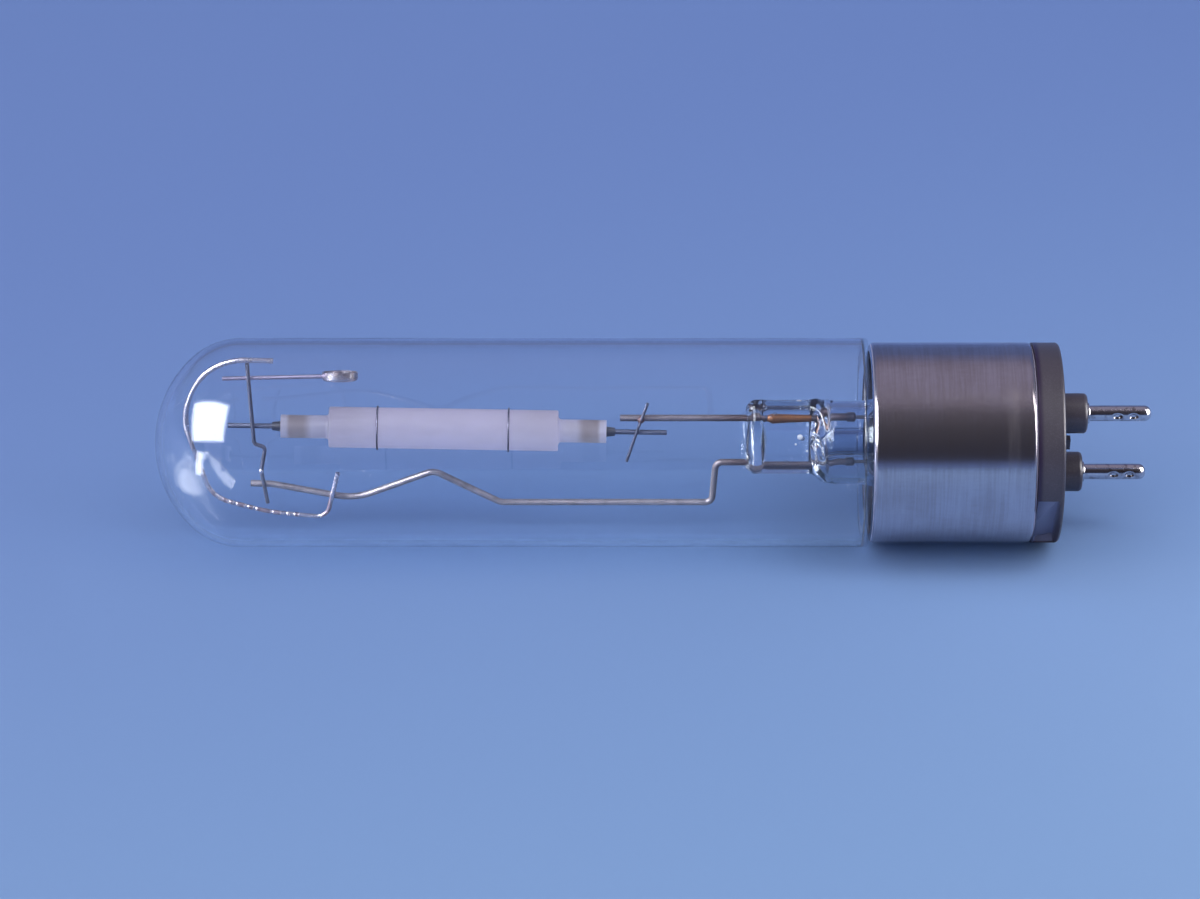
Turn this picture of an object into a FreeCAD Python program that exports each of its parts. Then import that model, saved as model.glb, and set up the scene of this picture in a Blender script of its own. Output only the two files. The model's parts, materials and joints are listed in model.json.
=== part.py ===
import FreeCAD, Part
import math
import os
import re
import Sketcher

# Tubular discharge lamp lying on its side. X runs along the lamp towards the two pins, Z is up.
# The origin is on the lamp's axis, in the plane where the metal shell meets the insulator ring.
# Lengths are in millimetres, angles in degrees. Distances named "ahead" are measured from the
# origin towards the dome, so they are negative X.

SIZES = {
    # Bulb glass
    "bulb_diameter": 31.4,  # outside of the glass cylinder
    "bulb_wall": 1.0,  # thickness of the bulb glass
    "bulb_tip": 131.3,  # dome tip ahead of the origin
    "dome_depth": 13.0,  # tip to the start of the cylinder
    "knuckle_radius": 11.0,  # outside radius where dome turns into cylinder
    "shoulder_lead": 0.3,  # end of the cylinder ahead of the shell's mouth
    "shoulder_run": 0.25,  # length over which the glass necks down
    "shoulder_radius": 1.15,  # outside radius of the shoulder
    "neck_diameter": 27.0,  # outside of the neck held in the cap
    "neck_radius": 0.4,  # hollow radius between shoulder and neck
    "neck_end": 11.0,  # sealed end of the neck ahead of the origin
    # Stem glass
    "stem_margin": 2.425,  # outside of the stem tube beyond the middle of a rod
    "stem_wall": 1.0,  # thickness of the stem tube and flare
    "pinch_tip": 42.9,  # inner end of the pinch ahead of the origin
    "bead_length": 2.5,  # thick bead at the inner end of the pinch
    "bead_thickness": 5.0,  # bead measured across the flats
    "pinch_thickness": 3.8,  # pinch measured across the flats
    "pinch_flat": 8.0,  # length of the flats past the bead
    "pinch_ramp": 3.6,  # length over which the flats run out
    "bead_step": 0.6,  # length and rounding of the step from bead to flats
    "pinch_edge": 1.6,  # rounding of the pinch's inner end
    "stem_root_edge": 1.2,  # hollow radius at the bottom of the stem tube
    "stem_root": 30.6,  # bottom of the stem tube's bore ahead of the origin
    "flare_start": 24.5,  # start of the flare ahead of the origin
    "flare_radius": 6.0,  # bend between stem tube and flare
    "exhaust_diameter": 4.5,  # outside of the exhaust tube
    "exhaust_wall": 0.8,  # thickness of the exhaust tube
    "exhaust_end": 13.5,  # closed tip of the exhaust tube ahead of the origin
    "exhaust_tip_flat": 0.3,  # small flat at the middle of the tip
    # Rods and leads
    "rod_diameter": 1.0,  # lead rod and frame rod
    "rod_spacing": 7.65,  # between the two rods in the pinch
    "rod_lift": 0.4,  # middle of the two rods above the axis
    "rod_end": 27.2,  # cap end of both rods ahead of the origin
    "short_rod_tip": 61.6,  # free end of the short lead rod
    "leg_root": 47.2,  # where the frame rod turns down, at the pinch
    "leg_foot": 47.75,  # bottom of the leg
    "run_drop": 10.5,  # straight run below the axis
    "run_end": 79.6,  # dome end of the straight run
    "crest": 89.6,  # corner of the rise past the arc tube's middle
    "crest_drop": 4.9,  # that corner below the axis
    "valley": 101.6,  # corner of the dip
    "valley_drop": 9.85,  # that corner below the axis
    "tail_bend": 114.0,  # corner near the free end
    "tail_bend_drop": 7.2,  # that corner below the axis
    "tail_end": 117.2,  # free end of the frame rod
    "tail_end_drop": 7.1,  # free end below the axis
    "tight_bend": 1.1,  # centre-line radius of a sharp bend in the rod
    "crest_bend": 2.3,  # centre-line radius of the crest
    "slow_bend": 9.0,  # centre-line radius of a gentle bend in the rod
    "lead_diameter": 0.5,  # thin wires from the rods to the pins
    "sleeve_diameter": 1.3,  # weld sleeve on the end of each rod
    "sleeve_length": 1.3,  # weld sleeve
    "sleeve_overlap": 0.5,  # length of rod inside its sleeve
    "sleeve_edge": 0.3,  # rounding of the sleeve's cap end
    "lead_bend_start": 17.0,  # first corner of the thin wires ahead of the origin
    "lead_bend_end": 8.0,  # second corner of the thin wires ahead of the origin
    "lead_bend": 3.0,  # centre-line radius of the thin wires
    "lead_reach": 10.5,  # thin wire's end inside its pin, behind the origin
    # Arc tube
    "arc_middle": 88.0,  # middle of the arc tube ahead of the origin
    "arc_height": 2.42,  # middle of the arc tube above the axis
    "arc_tilt": 1.1,  # droop of the arc tube towards the cap
    "arc_length": 34.3,  # ceramic body
    "arc_diameter": 6.1,  # outside of the ceramic body
    "arc_wall": 0.75,  # thickness of the ceramic body
    "arc_edge": 0.25,  # rounding of the body's ends
    "plug_depth": 2.4,  # depth of the end plug in the body
    "plug_fillet": 0.5,  # hollow radius between plug and end tube
    "end_tube_diameter": 3.45,  # outside of the ceramic end tube
    "end_tube_length": 7.2,  # end tube outside the body
    "end_tube_bore": 1.9,  # bore of the end tube
    "niobium_depth": 4.0,  # thick part of the feedthrough inside the end tube
    "feed_diameter": 0.75,  # feedthrough wire outside the seal
    "feed_reach_dome": 32.3,  # dome feedthrough's end from the middle
    "feed_reach_cap": 33.4,  # cap feedthrough's end from the middle
    "frit_length": 1.3,  # glass frit cone on the end tube
    "frit_step": 0.95,  # frit's foot inside the end tube's edge
    "frit_collar": 0.25,  # frit's thickness round the wire at its thin end
    "shank_diameter": 0.7,  # electrode shank
    "shank_reach": 3.6,  # electrode tip past the plug
    "coil_turns": 5,  # turns of the coil on the electrode
    "coil_pitch": 0.42,  # along the electrode, from turn to turn
    "coil_wire": 0.38,  # wire of the coil
    "coil_setback": 0.8,  # coil's end behind the electrode's tip
    "band_wire_diameter": 0.26,  # wire bands round the arc tube
    "band_dome_offset": 9.9,  # dome band from the middle
    "band_cap_offset": 9.7,  # cap band from the middle
    # Link wires
    "link_diameter": 0.6,  # link wire at the dome end
    "link_top": 117.0,  # top end ahead of the origin
    "link_knee": 116.4,  # corner above the jog
    "link_knee_height": 0.25,  # that corner above the axis
    "link_elbow": 114.75,  # corner after the jog
    "link_elbow_drop": 0.35,  # that corner below the axis
    "link_waist": 115.5,  # corner of the lower part
    "link_waist_drop": 4.4,  # that corner below the axis
    "link_foot": 114.7,  # bottom end ahead of the origin
    "link_foot_gap": 4.6,  # bottom end to the bulb's inner wall below
    "link_bend": 0.7,  # centre-line radius of the jog
    "link_slow_bend": 4.0,  # centre-line radius of the lower corner
    "link_top_gap": 0.05,  # top end to the spring's upper arm
    "cross_diameter": 0.45,  # link wire at the cap end
    "cross_top": 57.5,  # top end ahead of the origin
    "cross_top_height": 7.1,  # top end above the axis
    "cross_mid": 59.0,  # corner ahead of the origin
    "cross_mid_height": 2.6,  # corner above the axis
    "cross_foot": 60.6,  # bottom end ahead of the origin
    "cross_foot_drop": 2.8,  # bottom end below the axis
    "cross_bend": 8.0,  # centre-line radius of the corner
    # Dome spring
    "spring_diameter": 0.7,  # wire of the spring
    "spring_arm_end": 113.1,  # free end of the upper arm
    "spring_arm_sag": 0.2,  # free end below the arm's corner
    "spring_corner": 121.4,  # corner of the upper arm
    "spring_shoulder": 126.6,  # corner where the loop turns down
    "spring_shoulder_gap": 6.8,  # that corner to the bulb's inner wall above
    "spring_back": 126.5,  # corner where the loop leans back
    "spring_back_height": 1.9,  # that corner above the axis
    "spring_heel": 123.2,  # corner of the lower arm
    "spring_heel_gap": 5.65,  # that corner to the bulb's inner wall below
    "spring_sole": 114.6,  # bend in the lower arm
    "spring_sole_gap": 3.0,  # that bend to the wall below
    "spring_toe": 105.9,  # corner of the hook
    "spring_toe_gap": 1.95,  # that corner to the wall below
    "spring_hook": 104.9,  # bend in the hook
    "spring_hook_gap": 6.1,  # that bend to the wall below
    "spring_end": 104.0,  # end of the hook
    "spring_end_gap": 9.9,  # end of the hook to the wall below
    "spring_wall_gap": 0.05,  # upper arm to the bulb's inner wall
    "spring_wide_bend": 8.5,  # centre-line radius at the upper arm
    "spring_loop_bend": 11.0,  # centre-line radius of the loop's front
    "spring_back_bend": 14.0,  # centre-line radius of the loop's back
    "spring_heel_bend": 5.0,  # centre-line radius of the heel
    "spring_sole_bend": 20.0,  # centre-line radius of the lower arm
    "spring_toe_bend": 2.0,  # centre-line radius of the hook
    "spring_hook_bend": 8.0,  # centre-line radius of the hook's upper part
    # Getter
    "getter_rod_diameter": 0.6,  # rod that carries the getter
    "getter_rod_start": 120.8,  # free end of the rod ahead of the origin
    "getter_rod_length": 14.8,  # length of the rod
    "getter_rod_gap": 3.75,  # free end of the rod to the bulb's inner wall above
    "getter_rod_tilt": 1.4,  # rise of the rod towards the getter
    "getter_diameter": 5.4,  # outside of the getter ring
    "getter_width": 1.1,  # width of the ring's channel
    "getter_height": 1.25,  # height of the ring's channel
    "getter_sheet": 0.18,  # sheet of the channel
    "getter_edge": 0.45,  # outside rounding of the channel
    "getter_fill_height": 0.75,  # pressed powder in the channel
    "getter_lean": 22.0,  # tilt of the ring away from the front
    # Cap
    "cap_diameter": 30.0,  # outside of shell and ring
    "shell_length": 24.35,  # shell's mouth ahead of the origin
    "shell_wall": 0.4,  # sheet of the shell
    "shell_edge": 0.8,  # outside rounding of the shell's turned-in ends
    "shell_lip": 1.2,  # depth of the turned-in ends
    "cement_inset": 2.0,  # cement behind the shell's mouth
    "cement_margin": 1.0,  # cement ahead of the neck's sealed end
    "ring_thickness": 4.0,  # insulator ring
    "ring_edge": 0.5,  # outer rounding of the ring
    "spigot_depth": 6.0,  # skirt of the insulator inside the shell
    "spigot_wall": 2.2,  # thickness of that skirt
    "disc_depth": 1.0,  # inner face of the insulator's disc
    "boss_diameter": 6.0,  # boss round each pin
    "boss_height": 4.0,  # boss above the ring
    "boss_edge": 0.6,  # rounding of the boss
    "key_length": 2.0,  # rib between the bosses
    "key_width": 1.0,  # rib between the bosses
    "key_height": 1.9,  # rib above the ring
    "notch_turn": 18.5,  # middle of the recess below the pin plane's left
    "notch_floor": 12.9,  # ridge of the recess's floor from the axis
    "notch_start": 0.3,  # side of the recess behind the origin, near the shell
    "notch_end": 3.2,  # far side of the recess behind the origin
    "notch_half": 6.6,  # half the length of the recess along its chord
    "ridge_along": 1.0,  # point of the ridge behind the origin
    "ridge_above": 0.9,  # that point above the middle of the recess
    "ridge_turn": 66.9,  # ridge from the lamp's length, rising away from the shell
    "ridge_lean": 12.0,  # fall of the floor to each side of the ridge
    # Pins
    "pin_diameter": 2.35,  # contact pin
    "pin_spacing": 12.0,  # between the pins' axes
    "pin_length": 9.6,  # pin past its boss
    "pin_turn": 13.5,  # pin plane from upright, top towards the front
    "pin_nose_flat": 0.35,  # small flat on the rounded tip
    "pin_shank_diameter": 2.8,  # pin inside its boss
    "pin_collar_diameter": 3.1,  # rolled collar on the boss
    "pin_collar_height": 0.35,  # rolled collar on the boss
    "pin_flange_diameter": 4.2,  # flange inside the cap
    "pin_flange_height": 0.6,  # flange inside the cap
    "pin_bore": 1.1,  # bore for the thin wire
    "pin_bore_end": 11.0,  # bottom of the bore behind the origin
    # Clearances
    "fit_gap": 0.03,  # between a piece and the seat that holds it
    "weld_gap": 0.03,  # between two crossed wires at their weld
}

UP = FreeCAD.Vector(0, 0, 1)
START, END, CENTRE = range(1, 4)  # the points of a sketch element
X_AXIS, Y_AXIS = range(-1, -3, -1)  # a sketch's own axes
ORIGIN = (X_AXIS, START)

doc = FreeCAD.newDocument("Lamp")
sheet = doc.addObject("Spreadsheet::Sheet", "Sizes")
nodes = []


def fill_sheet():
    """Write every size into the sheet, with its name beside it as the cell's alias."""
    for row, (name, number) in enumerate(SIZES.items(), 1):
        sheet.set(f"A{row}", name)
        sheet.set(f"B{row}", str(number))
        sheet.setAlias(f"B{row}", name)
    doc.recompute()


def bound(text):
    """Return the expression with each size's name pointing at its cell."""
    return re.sub(r"[a-z_]+", lambda word: ("Sizes." if word[0] in SIZES else "") + word[0], str(text))


def value(text):
    """Return what an expression comes to now."""
    result = sheet.evalExpression(bound(text))
    return float(getattr(result, "Value", result))


def place(thing, along="0", across="0", height="0", axis=(1, 0, 0), turn="0"):
    """Bind an object's Placement: a point, and a turn about one axis."""
    point = f"create(<<vector>>; {bound(along)}; {bound(across)}; {bound(height)})"
    pivot = "create(<<vector>>; {}; {}; {})".format(*axis)
    spin = f"create(<<rotation>>; {pivot}; {bound(turn)})"
    thing.setExpression("Placement", f"create(<<placement>>; {point}; {spin})")


def new_body(name):
    """Start one sub-part of the lamp."""
    body = doc.addObject("PartDesign::Body", name)
    body.Label = name
    nodes.append(body)
    return body


def new_sketch(body, role, name, offset=None):
    """Start a sketch on one of the body's own origin planes, moved along its normal by offset."""
    sketch = body.newObject("Sketcher::SketchObject", f"{body.Name}_{name}")
    plane = next(item for item in body.Origin.OriginFeatures if item.Role == role)
    sketch.AttachmentSupport = [(plane, "")]
    sketch.MapMode = "FlatFace"
    if offset is not None:
        sketch.setExpression(".AttachmentOffset.Base.z", bound(offset))
    return sketch


def fix(sketch, kind, *where, to):
    """Add one measured constraint and tie it to the sheet."""
    index = sketch.addConstraint(Sketcher.Constraint(kind, *where, value(to)))
    sketch.setExpression(f"Constraints[{index}]", bound(to))


def pin_point(sketch, element, end, across, up):
    """Hold one point of a sketch at two distances from the sketch's origin."""
    for kind, axis, text in (("DistanceX", Y_AXIS, across), ("DistanceY", X_AXIS, up)):
        if str(text) == "0":
            sketch.addConstraint(Sketcher.Constraint("PointOnObject", element, end, axis))
        else:
            fix(sketch, kind, *ORIGIN, element, end, to=text)


def rounded_corner(before, corner, after, radius):
    """Return where a tangent arc leaves and joins the two runs at a corner, and the arc."""
    back = (before - corner).normalize()
    ahead = (after - corner).normalize()
    half = back.getAngle(ahead) / 2
    middle = corner + (back + ahead).normalize() * (radius / math.sin(half))
    enter = corner + back * (radius / math.tan(half))
    leave = corner + ahead * (radius / math.tan(half))
    turns_left = back.cross(ahead).z < 0
    ends = (enter, leave) if turns_left else (leave, enter)
    angles = [math.atan2((end - middle).y, (end - middle).x) for end in ends]
    arc = Part.ArcOfCircle(Part.Circle(middle, UP, radius), *angles)
    return enter, leave, arc, turns_left


def draw(sketch, corners, closed=True):
    """Draw straight runs from corner to corner, with a tangent arc where a corner has a radius.

    A corner is (across, up) or (across, up, radius), each an expression. The runs' ends, the
    corners and the radii are all tied to the sheet. Returns the indices of the straight runs.
    """
    spots = [FreeCAD.Vector(value(corner[0]), value(corner[1]), 0) for corner in corners]
    count = len(spots)
    leaving, entering, arcs = list(spots), list(spots), {}
    for index, corner in enumerate(corners):
        if len(corner) > 2:
            before, after = spots[index - 1], spots[(index + 1) % count]
            found = rounded_corner(before, spots[index], after, value(corner[2]))
            entering[index], leaving[index], arcs[index] = found[0], found[1], found[2:]
    runs = []
    for index in range(count if closed else count - 1):
        line = Part.LineSegment(leaving[index], entering[(index + 1) % count])
        runs.append(sketch.addGeometry(line, False))
    for index, corner in enumerate(corners):
        arriving = runs[index - 1] if closed or index > 0 else None
        departing = runs[index] if index < len(runs) else None
        if index in arcs:
            arc, turns_left = arcs[index]
            bend = sketch.addGeometry(arc, False)
            first, last = (START, END) if turns_left else (END, START)
            sketch.addConstraint(Sketcher.Constraint("Tangent", arriving, END, bend, first))
            sketch.addConstraint(Sketcher.Constraint("Tangent", bend, last, departing, START))
            fix(sketch, "Radius", bend, to=corner[2])
            mark = sketch.addGeometry(Part.Point(spots[index]), True)
            pin_point(sketch, mark, START, corner[0], corner[1])
            sketch.addConstraint(Sketcher.Constraint("PointOnObject", mark, START, arriving))
            sketch.addConstraint(Sketcher.Constraint("PointOnObject", mark, START, departing))
        elif departing is None:
            pin_point(sketch, arriving, END, corner[0], corner[1])
        else:
            pin_point(sketch, departing, START, corner[0], corner[1])
            if arriving is not None:
                sketch.addConstraint(Sketcher.Constraint("Coincident", arriving, END, departing, START))
    return runs


def turned(name, corners, role="XZ_Plane", axis="H_Axis"):
    """Make a sub-part by turning a closed outline round the body's own axis."""
    body = new_body(name)
    sketch = new_sketch(body, role, "Outline")
    draw(sketch, corners)
    revolve(body, sketch, axis)
    return body


def revolve(body, sketch, axis="H_Axis"):
    """Turn a sketch once round one of its own axes."""
    doc.recompute()
    turn = body.newObject("PartDesign::Revolution", f"{body.Name}_Turn")
    turn.Profile = sketch
    turn.ReferenceAxis = (sketch, [axis])
    turn.Angle = 360
    return turn


def bent_wire(name, corners, diameter):
    """Make a wire of one diameter along a path of straight runs and tangent arcs."""
    body = new_body(name)
    path = new_sketch(body, "XZ_Plane", "Path")
    draw(path, corners, closed=False)
    doc.recompute()
    section = body.newObject("Sketcher::SketchObject", f"{name}_Section")
    section.AttachmentSupport = [(path, "Edge1")]
    section.MapMode = "NormalToEdge"
    circle = section.addGeometry(Part.Circle(FreeCAD.Vector(), UP, value(diameter) / 2), False)
    section.addConstraint(Sketcher.Constraint("Coincident", circle, CENTRE, *ORIGIN))
    fix(section, "Diameter", circle, to=diameter)
    doc.recompute()
    pipe = body.newObject("PartDesign::AdditivePipe", f"{name}_Pipe")
    pipe.Profile = section
    pipe.Spine = path
    return body


def straight_wire(name, diameter, length):
    """Make a straight wire that stands on its own origin until it is placed."""
    wire = doc.addObject("Part::Cylinder", name)
    wire.Label = name
    wire.setExpression("Radius", bound(f"({diameter}) / 2"))
    wire.setExpression("Height", bound(length))
    nodes.append(wire)
    return wire


def cut(body, sketch, name, length=None, both_ways=False, slope=None):
    """Cut a sketch out of its body, through all or to a length, and see that it took something."""
    doc.recompute()
    before = body.Shape.Volume
    pocket = body.newObject("PartDesign::Pocket", f"{body.Name}_{name}")
    pocket.Profile = sketch
    pocket.SideType = "Symmetric" if both_ways else "One side"
    if length is None:
        pocket.Type = "ThroughAll"
    else:
        pocket.setExpression("Length", bound(length))
    if slope is not None:
        pocket.setExpression("TaperAngle", bound(slope))
    doc.recompute()
    if not body.Shape.Volume < before:
        raise RuntimeError(f"{pocket.Name} takes nothing off")
    return pocket


def raise_up(body, sketch, name, length):
    """Pad a sketch onto its body."""
    pad = body.newObject("PartDesign::Pad", f"{body.Name}_{name}")
    pad.Profile = sketch
    pad.setExpression("Length", bound(length))
    doc.recompute()
    return pad


def add_circles(sketch, centres, diameter):
    """Draw equal circles round given centres."""
    for across, up in centres:
        middle = FreeCAD.Vector(value(across), value(up), 0)
        circle = sketch.addGeometry(Part.Circle(middle, UP, value(diameter) / 2), False)
        pin_point(sketch, circle, CENTRE, across, up)
        fix(sketch, "Diameter", circle, to=diameter)


# Heights and distances that several pieces share
BULB_RADIUS = "bulb_diameter / 2"
NECK_RADIUS = "neck_diameter / 2"
CAP_RADIUS = "cap_diameter / 2"
SHELL_BORE = f"({CAP_RADIUS} - shell_wall)"
UPPER_ROD = "(rod_lift + rod_spacing / 2)"
LOWER_ROD = "(rod_lift - rod_spacing / 2)"
BOSS_FACE = "(ring_thickness + boss_height)"
LINK_SIDE = "(-(rod_diameter / 2 + link_diameter / 2 + weld_gap))"
SPRING_SIDE = "(-(rod_diameter / 2 + spring_diameter / 2 + weld_gap))"
INNER_RADIUS = f"({BULB_RADIUS} - bulb_wall)"
SPRING_REACH = f"({INNER_RADIUS} - spring_diameter / 2 - spring_wall_gap)"
SPRING_ARM = f"sqrt({SPRING_REACH}^2 - {SPRING_SIDE}^2)"
ARC_SIDE = f"({LINK_SIDE} + link_diameter / 2 + feed_diameter / 2 + weld_gap)"
CROSS_SIDE = "(-(rod_diameter / 2 + cross_diameter / 2 + weld_gap))"
GETTER_SIDE = f"({LINK_SIDE} + link_diameter / 2 + getter_rod_diameter / 2 + weld_gap)"


def glass_line(sketch, inset):
    """Draw the bulb's half outline, inset from the outside, and return its first and last element.

    The crown's centre is on the axis and the knuckle's centre is above the end of the dome. The
    two arcs are tangent, which sets the crown's radius c for a dome depth d, a bulb radius b and
    a knuckle radius k: (d - c)^2 + (b - k)^2 = (c - k)^2. Past the dome come the cylinder, the
    shoulder and the neck; the inset line keeps the arcs' centres.
    """
    radius = f"({BULB_RADIUS} - {inset})"
    shift = f"{inset} * tan(atan2({BULB_RADIUS} - {NECK_RADIUS}; shoulder_run) / 2)"
    shoulder = f"(-shell_length - shoulder_lead - {shift})"
    runs = draw(sketch, (
        ("-bulb_tip + dome_depth", radius),
        (shoulder, radius, f"shoulder_radius - {inset}"),
        (f"{shoulder} + shoulder_run", f"{NECK_RADIUS} - {inset}", f"neck_radius + {inset}"),
        ("-neck_end", f"{NECK_RADIUS} - {inset}"),
    ), closed=False)

    knuckle = value(f"knuckle_radius - {inset}")
    depth = value(f"dome_depth - {inset}")
    rise = value(radius) - knuckle
    crown = (depth ** 2 + rise ** 2 - knuckle ** 2) / (2 * (depth - knuckle))
    end_of_dome = value("-bulb_tip + dome_depth")
    crown_middle = FreeCAD.Vector(end_of_dome - depth + crown, 0, 0)
    knuckle_middle = FreeCAD.Vector(end_of_dome, rise, 0)
    lean = math.atan2(rise, depth - crown)
    crown_circle = Part.Circle(crown_middle, UP, crown)
    knuckle_circle = Part.Circle(knuckle_middle, UP, knuckle)
    crown_arc = sketch.addGeometry(Part.ArcOfCircle(crown_circle, lean, math.pi), False)
    knuckle_arc = sketch.addGeometry(Part.ArcOfCircle(knuckle_circle, math.pi / 2, lean), False)
    sketch.addConstraint(Sketcher.Constraint("PointOnObject", crown_arc, CENTRE, X_AXIS))
    pin_point(sketch, crown_arc, END, f"-bulb_tip + {inset}", "0")
    sketch.addConstraint(Sketcher.Constraint("Tangent", crown_arc, START, knuckle_arc, END))
    fix(sketch, "Radius", knuckle_arc, to=f"knuckle_radius - {inset}")
    sketch.addConstraint(Sketcher.Constraint("Tangent", knuckle_arc, START, runs[0], START))
    return crown_arc, runs[-1]


def close_gap(sketch, first, second):
    """Join the far ends of two elements by a straight line."""
    ends = [sketch.getPoint(element, END) for element in (first, second)]
    line = sketch.addGeometry(Part.LineSegment(*ends), False)
    sketch.addConstraint(Sketcher.Constraint("Coincident", line, START, first, END))
    sketch.addConstraint(Sketcher.Constraint("Coincident", line, END, second, END))


def make_bulb():
    """Blow the bulb: one turned wall from the dome's tip to the open neck."""
    body = new_body("outer_bulb")
    sketch = new_sketch(body, "XZ_Plane", "Outline")
    outer_crown, outer_neck = glass_line(sketch, "0")
    inner_crown, inner_neck = glass_line(sketch, "bulb_wall")
    close_gap(sketch, outer_crown, inner_crown)
    close_gap(sketch, outer_neck, inner_neck)
    revolve(body, sketch)


def make_stem():
    """Make the stem: a flare sealed to the neck, a tube, and a pinch pressed flat round the rods."""
    radius = "(rod_spacing / 2 + stem_margin)"
    bore = f"({radius} - stem_wall)"
    rim = "(-neck_end + stem_wall)"
    body = turned("stem_glass", (
        ("-pinch_tip", "0"),
        ("-pinch_tip", radius, "pinch_edge"),
        ("-flare_start", radius, "flare_radius"),
        ("-neck_end", f"{NECK_RADIUS} - bulb_wall - fit_gap"),
        ("-neck_end", NECK_RADIUS),
        (rim, NECK_RADIUS),
        (rim, f"{NECK_RADIUS} - bulb_wall - stem_wall"),
        ("-flare_start + stem_wall / 2", bore, "flare_radius + stem_wall"),
        ("-stem_root", bore, "stem_root_edge"),
        ("-stem_root", "0"),
    ))
    press = new_sketch(body, "XY_Plane", "PressOutline")
    beyond = f"({radius} + stem_wall)"
    flat_start = "(-pinch_tip + bead_length + bead_step)"
    flat_end = "(-pinch_tip + bead_length + pinch_flat)"
    for side in ("", "-"):
        draw(press, (
            ("-pinch_tip - stem_wall", f"{side}bead_thickness / 2"),
            ("-pinch_tip + bead_length", f"{side}bead_thickness / 2", "bead_step"),
            (flat_start, f"{side}pinch_thickness / 2", "bead_step"),
            (flat_end, f"{side}pinch_thickness / 2", "pinch_ramp"),
            (f"{flat_end} + pinch_ramp", f"{side}{beyond}"),
            ("-pinch_tip - stem_wall", f"{side}{beyond}"),
        ))
    cut(body, press, "Press", both_ways=True)
    holes = new_sketch(body, "YZ_Plane", "RodHoles", offset="-stem_root")
    add_circles(holes, (("0", UPPER_ROD), ("0", LOWER_ROD)), "rod_diameter + 2 * fit_gap")
    cut(body, holes, "Holes", both_ways=True)


def make_exhaust():
    """Make the exhaust tube: open into the stem's root, tipped off to a round end in the cap."""
    radius = "exhaust_diameter / 2"
    turned("exhaust_tube", (
        ("-stem_root", f"{radius} - exhaust_wall"),
        ("-stem_root", radius),
        ("-exhaust_end", radius, f"{radius} - exhaust_tip_flat"),
        ("-exhaust_end", "0"),
        ("-exhaust_end - exhaust_wall", "0"),
        ("-exhaust_end - exhaust_wall", f"{radius} - exhaust_wall", "exhaust_wall"),
    ))


def make_rods():
    """Make the short lead rod and the long frame rod that carries the arc tube."""
    lead = straight_wire("short_lead_rod", "rod_diameter", "short_rod_tip - rod_end")
    place(lead, "-short_rod_tip", "0", UPPER_ROD, (0, 1, 0), "90")
    bent_wire("frame_rod", (
        ("-tail_end", "-tail_end_drop"),
        ("-tail_bend", "-tail_bend_drop", "slow_bend"),
        ("-valley", "-valley_drop", "slow_bend"),
        ("-crest", "-crest_drop", "crest_bend"),
        ("-run_end", "-run_drop", "crest_bend"),
        ("-leg_foot", "-run_drop", "tight_bend"),
        ("-leg_root", LOWER_ROD, "tight_bend"),
        ("-rod_end", LOWER_ROD),
    ), "rod_diameter")


def make_lead(which, side, height):
    """Make one weld sleeve and the thin wire that leads from its rod into a pin."""
    rod_bore = "rod_diameter / 2 + fit_gap"
    wire_bore = "lead_diameter / 2 + fit_gap"
    far_end = "(-rod_end - sleeve_overlap + sleeve_length)"
    sleeve = turned(f"weld_sleeve_{which}", (
        ("-rod_end - sleeve_overlap", rod_bore),
        ("-rod_end - sleeve_overlap", "sleeve_diameter / 2"),
        (far_end, "sleeve_diameter / 2", "sleeve_edge"),
        (far_end, wire_bore),
        ("-rod_end", wire_bore),
        ("-rod_end", rod_bore),
    ))
    place(sleeve, height=height)
    across = f"({side} * pin_spacing / 2 * -sin(pin_turn))"
    rise = f"({side} * pin_spacing / 2 * cos(pin_turn) - {height})"
    offset = f"sqrt({across}^2 + {rise}^2)"
    wire = bent_wire(f"lead_wire_{which}", (
        ("-rod_end", "0"),
        ("-lead_bend_start", "0", "lead_bend"),
        ("-lead_bend_end", offset, "lead_bend"),
        ("lead_reach", offset),
    ), "lead_diameter")
    place(wire, height=height, turn=f"atan2(-{across}; {rise})")


def place_on_arc_tube(thing, offset="0", turn="arc_tilt"):
    """Place a piece on the arc tube's own axis, at a distance from its middle."""
    along = f"-arc_middle + ({offset}) * cos(arc_tilt)"
    height = f"arc_height - ({offset}) * sin(arc_tilt)"
    place(thing, along, ARC_SIDE, height, (0, 1, 0), turn)


def make_arc_body():
    """Make the open ceramic tube and the two wire bands round it."""
    radius, bore = "arc_diameter / 2", "arc_diameter / 2 - arc_wall"
    body = turned("arc_tube_body", (
        ("-arc_length / 2", bore),
        ("-arc_length / 2", radius, "arc_edge"),
        ("arc_length / 2", radius, "arc_edge"),
        ("arc_length / 2", bore),
    ))
    place_on_arc_tube(body)
    for which, offset in (("dome", "-band_dome_offset"), ("cap", "band_cap_offset")):
        band = doc.addObject("Part::Torus", f"band_wire_{which}")
        band.Label = band.Name
        band.setExpression("Radius1", bound(f"{radius} + band_wire_diameter / 2 + weld_gap"))
        band.setExpression("Radius2", bound("band_wire_diameter / 2"))
        place_on_arc_tube(band, offset, "arc_tilt + 90")
        nodes.append(band)


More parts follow.
